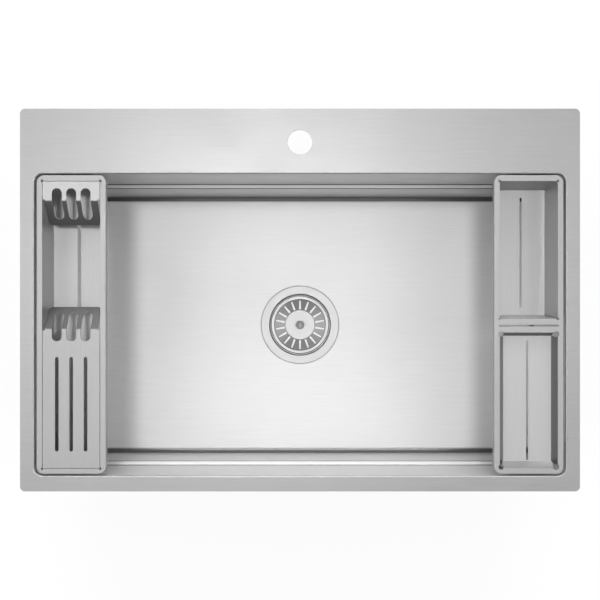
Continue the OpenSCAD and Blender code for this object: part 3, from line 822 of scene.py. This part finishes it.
@dataclass
class DeckAndBowl:
    """The deck, the bowl under it, the seal on the worktop and the sound pads."""

    # Deck and bowl are one steel: the deck's dark tone is painted shade and the bowl's light tone
    # painted light, for what each mirrors.
    deck: Colour = grey(0.37)
    bowl: Colour = grey(0.88)
    # Painted shade: walls darker than the floor, and folds near black as dark lines along the
    # bends.
    wall_shade: Colour = grey(0.60)
    fold_shade: Colour = grey(0.16)
    coat: Colour = (0.30, 0.31, 0.32)
    foam: Colour = (0.10, 0.10, 0.105)
    rubber: Colour = (0.11, 0.11, 0.115)

    def build(self) -> None:
        """Dresses the deck, the bowl, the seal and the pads."""
        deck = BrushedSteel("deck_satin", self.deck, roughness=0.35, mirror=0.75)
        dress(deck.material(), "deck_plate")
        bowl = BrushedSteel("bowl_satin", self.bowl, roughness=0.5, mirror=0.35, marks=0.03,
                            wall_shade=self.wall_shade, wall_mirror=0.3, fold_shade=self.fold_shade, coat=self.coat)
        dress(bowl.material(), "bowl_shell")
        foam = Moulded("seal_foam", self.foam, roughness=0.9, cell=1600.0, depth=0.2 * MM)
        dress(foam.material(), "worktop_seal")
        rubber = Moulded("damping_rubber", self.rubber, roughness=0.7, cell=320.0,
                         depth=0.4 * MM)
        dress(rubber.material(), "pad_front", "pad_rear", "pad_left", "pad_right",
              "pad_floor_left", "pad_floor_right")


@dataclass
class Clips:
    """Brackets, screws and arms that pull the deck down on the worktop."""

    thread: Thread = Thread(2.5 * MM, 0.35 * MM, 1.25 * MM, 16)
    head: float = 4.0 * MM
    plate: float = 2.0 * MM
    bare: float = 0.3 * MM
    zinc: Colour = (0.62, 0.64, 0.67)

    def stretches(self) -> list[tuple[float, float]]:
        """Finds where a screw's shank shows.

        Returns:
            Lower and upper height of each stretch, in metres.
        """
        screw_low, screw_high = (corner.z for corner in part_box("clip_screws"))
        bracket_low, bracket_high = (corner.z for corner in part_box("clip_brackets"))
        arm_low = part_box("clip_arms")[0].z
        edges = [screw_low + self.head, arm_low, arm_low + self.plate, bracket_low,
                 bracket_low + self.plate, bracket_high - self.plate, bracket_high, screw_high]
        return [(low + self.bare, high - self.bare) for low, high in zip(edges[::2], edges[1::2])]

    def build(self) -> None:
        """Dresses the clips and cuts the screws' threads."""
        zinc = PlatedMetal("zinc_plate", self.zinc, roughness=0.38).material()
        dress(zinc, "clip_brackets", "clip_screws", "clip_arms")
        shape = bmesh.new()
        for centre in island_centres("clip_screws"):
            for low, high in self.stretches():
                self.thread.cut(shape, centre, low, high)
        add_piece("clip_screw_threads", shape, zinc, "sink")


@dataclass
class Drain:
    """The strainer's flange and sleeve, and what clamps it to the floor."""

    thread: Thread = Thread(49.9 * MM, 0.75 * MM, 2.4 * MM, 72)
    outlet_length: float = 22.0 * MM
    nut_gap: float = 0.4 * MM
    flange: Colour = grey(0.64)
    # Painted shade: the sleeve's inner walls and the flange's bends darker than its flats.
    throat_shade: Colour = grey(0.20)
    rubber: Colour = (0.035, 0.035, 0.038)
    plastic: Colour = (0.80, 0.78, 0.70)
    casting: Colour = (0.52, 0.53, 0.55)

    def build(self) -> None:
        """Dresses the drain and cuts the sleeve's thread."""
        steel = BrushedSteel("strainer_turned", self.flange, roughness=0.5, grain=Grain.TURNED,
                             line=1500.0, marks=0.03, fold_shade=self.throat_shade).material()
        dress(steel, "strainer_body")
        rubber = Moulded("washer_rubber", self.rubber, roughness=0.6)
        dress(rubber.material(), "flange_gasket", "rubber_washer")
        plastic = Moulded("slip_plastic", self.plastic, roughness=0.4, depth=0.01 * MM)
        dress(plastic.material(), "slip_ring")
        casting = PlatedMetal("nut_casting", self.casting, roughness=0.5, patch=400.0)
        dress(casting.material(), "locknut")
        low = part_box("strainer_body")[0].z + self.outlet_length
        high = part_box("locknut")[0].z - self.nut_gap
        shape = bmesh.new()
        self.thread.cut(shape, Vector((0.0, 0.0, 0.0)), low, high)
        add_piece("sleeve_thread", shape, steel, "sink")


@dataclass
class Basket:
    """The loose strainer basket with its knob and seal."""

    disc: Colour = grey(0.54)
    # Painted shade: the cone and the bead near black against the disc.
    cone_shade: Colour = grey(0.06)
    # The knob's light tone is a painted highlight.
    knob: Colour = grey(0.85)
    rubber: Colour = (0.04, 0.04, 0.042)

    def build(self) -> None:
        """Dresses the basket."""
        steel = BrushedSteel("basket_turned", self.disc, roughness=0.45, grain=Grain.TURNED,
                             line=1200.0, marks=0.03, edge=0.3 * MM, fold_shade=self.cone_shade)
        dress(steel.material(), "strainer_basket")
        knob = BrushedSteel("knob_polished", self.knob, roughness=0.25, grain=Grain.TURNED,
                            line=2500.0, marks=0.02, edge=0.2 * MM, mirror=0.6)
        dress(knob.material(), "basket_knob")
        rubber = Moulded("basket_rubber", self.rubber, roughness=0.55)
        dress(rubber.material(), "basket_seal")


@dataclass
class Caddies:
    """The two sliding caddies with their trays, plates, legs and glides."""

    # One steel with the bowl: frame, tray and plate tones are darker as painted shade for the dark
    # things they mirror.
    frame: Colour = grey(0.38)
    tray: Colour = grey(0.45)
    # Painted shade: bends and sloped flaps darker than the flats, the knife's flaps near black.
    slope_shade: Colour = grey(0.26)
    rest: Colour = grey(0.45)
    rest_flap_shade: Colour = grey(0.30)
    knife: Colour = grey(0.37)
    knife_flap_shade: Colour = grey(0.10)
    glide: Colour = (0.84, 0.84, 0.82)
    roughness: float = 0.4
    mirror: float = 0.6

    def build(self) -> None:
        """Dresses both caddies."""
        folded = BrushedSteel("caddy_satin", self.frame, self.roughness, Grain.LENGTHWISE,
                              edge=0.5 * MM, mirror=self.mirror)
        dress(folded.material(), "left_frame", "left_leg_front", "left_leg_rear",
              "right_frame", "right_leg_front", "right_leg_rear")
        tray = BrushedSteel("tray_satin", self.tray, self.roughness, Grain.LENGTHWISE,
                            edge=0.5 * MM, mirror=self.mirror, wall_shade=self.tray,
                            wall_mirror=self.mirror, fold_shade=self.slope_shade)
        dress(tray.material(), "left_tray", "deep_tray", "shallow_tray")
        # Each plate's flaps and bends take its painted shade tone.
        for name, colour, flap_shade in (("rest", self.rest, self.rest_flap_shade),
                                   ("knife", self.knife, self.knife_flap_shade)):
            plate = BrushedSteel(name + "_satin", colour, self.roughness, Grain.LENGTHWISE,
                                 run=18.0, edge=0.6 * MM, mirror=self.mirror, wall_shade=flap_shade,
                                 wall_mirror=self.mirror, fold_shade=flap_shade)
            dress(plate.material(), name + "_plate")
        glide = Moulded("glide_plastic", self.glide, roughness=0.35, depth=0.01 * MM)
        dress(glide.material(), "left_glides", "right_glides")


# ---- studio ---------------------------------------------------------------------------


@dataclass(frozen=True)
class Softbox:
    """One soft patch of light in the studio's sky, with its reach in degrees."""

    toward: tuple[float, float, float]
    reach: float
    level: float


@dataclass
class Studio:
    """Pale floor, a sky of soft light patches and the camera straight above the bowl."""

    camera_height: float = 1.519
    lens: float = 64.43
    sensor: float = 36.0
    shift_y: float = 24.8 / 600.0
    clip_end: float = 50.0
    floor_gap: float = 0.5 * MM
    floor_size: float = 8.0
    floor_colour: Colour = grey(0.9)
    floor_roughness: float = 0.9
    floor_glow: float = 0.88
    ambient: float = 0.08
    horizon: float = 0.35
    horizon_band: tuple[float, float] = (0.30, 0.05)
    boxes: tuple[Softbox, ...] = (
        Softbox((-0.035, 0.07, 1.0), 6.0, 32.0),
        Softbox((-1.0, 0.0, 1.0), 38.0, 1.9),
        Softbox((1.0, 0.0, 1.0), 38.0, 1.9),
        Softbox((0.0, 1.0, 1.0), 38.0, 0.4),
        Softbox((0.0, -1.0, 1.0), 38.0, 0.5),
        Softbox((0.0, 1.0, 0.5), 25.0, 7.5),
    )

    def world(self) -> None:
        """Makes a sky that is white to the eye and shaded as a studio's ceiling elsewhere."""
        world = bpy.data.worlds.new("studio")
        bpy.context.scene.world = world
        world.use_nodes = True
        world.node_tree.nodes.clear()
        sketch = Sketch(world.node_tree)
        way = sketch.node("TexCoord").outputs["Generated"]
        level: Socket | float = self.ambient
        for box in self.boxes:
            facing = sketch.dot(way, Vector(box.toward).normalized())
            patch = sketch.ramp(facing, math.cos(math.radians(box.reach)), 1.0)
            level = sketch.math("MULTIPLY_ADD", patch, box.level, level)
        height = sketch.math("ABSOLUTE", sketch.axis(way, "Z"))
        band = sketch.ramp(height, *self.horizon_band)
        level = sketch.math("MULTIPLY_ADD", band, self.horizon, level)
        seen = sketch.node("LightPath").outputs["Is Camera Ray"]
        sky = sketch.node("Background", {"Color": sketch.mix(seen, level, 1.0), "Strength": 1.0})
        sketch.node("OutputWorld", {"Surface": sky.outputs[0]})

    def floor_material(self) -> bpy.types.Material:
        """Makes the floor white to the eye and in mirrors, and clear from below.

        Returns:
            The material.
        """
        material, sketch = blank_material("studio_white")
        paint = sketch.node("BsdfPrincipled", {"Base Color": (*self.floor_colour, 1.0),
                                               "Roughness": self.floor_roughness})
        path = sketch.node("LightPath").outputs
        seen = sketch.math("MAXIMUM", path["Is Camera Ray"], path["Is Glossy Ray"])
        seen = sketch.math("MAXIMUM", seen, path["Is Transmission Ray"])
        glow = sketch.node("Emission", {"Color": (1.0, 1.0, 1.0, 1.0), "Strength": 1.0})
        mixed = sketch.node("MixShader", {0: sketch.math("MULTIPLY", seen, self.floor_glow),
                                          1: paint.outputs["BSDF"], 2: glow.outputs[0]})
        below = sketch.node("NewGeometry").outputs["Backfacing"]
        open_side = sketch.math("MULTIPLY", below, path["Is Camera Ray"])
        clear = sketch.node("BsdfTransparent", {"Color": (1.0, 1.0, 1.0, 1.0)})
        shown = sketch.node("MixShader", {0: open_side, 1: mixed.outputs[0],
                                          2: clear.outputs[0]})
        sketch.node("OutputMaterial", {"Surface": shown.outputs[0]})
        return material

    def floor(self) -> None:
        """Lays a plain white floor that keeps the sink's shadow."""
        half = self.floor_size / 2
        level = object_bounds()[0].z - self.floor_gap
        shape = bmesh.new()
        corners = [shape.verts.new((x * half, y * half, level))
                   for x, y in ((-1, -1), (1, -1), (1, 1), (-1, 1))]
        shape.faces.new(corners)
        add_object("studio_floor", shape, self.floor_material())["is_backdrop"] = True

    def camera(self) -> None:
        """Places the camera straight above the bowl's centre."""
        lens = bpy.data.cameras.new("view")
        lens.lens = self.lens
        lens.sensor_width = self.sensor
        lens.shift_y = self.shift_y
        lens.clip_end = self.clip_end
        camera = bpy.data.objects.new("view", lens)
        camera.location = (0.0, 0.0, self.camera_height)
        bpy.context.scene.collection.objects.link(camera)
        bpy.context.scene.camera = camera

    def build(self) -> None:
        """Sets up the camera, the floor and the sky."""
        bpy.context.scene.view_settings.view_transform = "Standard"
        self.camera()
        self.floor()
        self.world()
        LOG.info("studio ready")


def main() -> None:
    """Builds the studio and dresses the sink, one sub-assembly after another."""
    logging.basicConfig(level=logging.INFO, format="%(name)s: %(message)s")
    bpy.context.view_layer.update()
    Studio().build()
    for assembly in (DeckAndBowl(), Clips(), Drain(), Basket(), Caddies()):
        assembly.build()
        LOG.info("%s done", type(assembly).__name__)


if __name__ == "__main__":
    main()
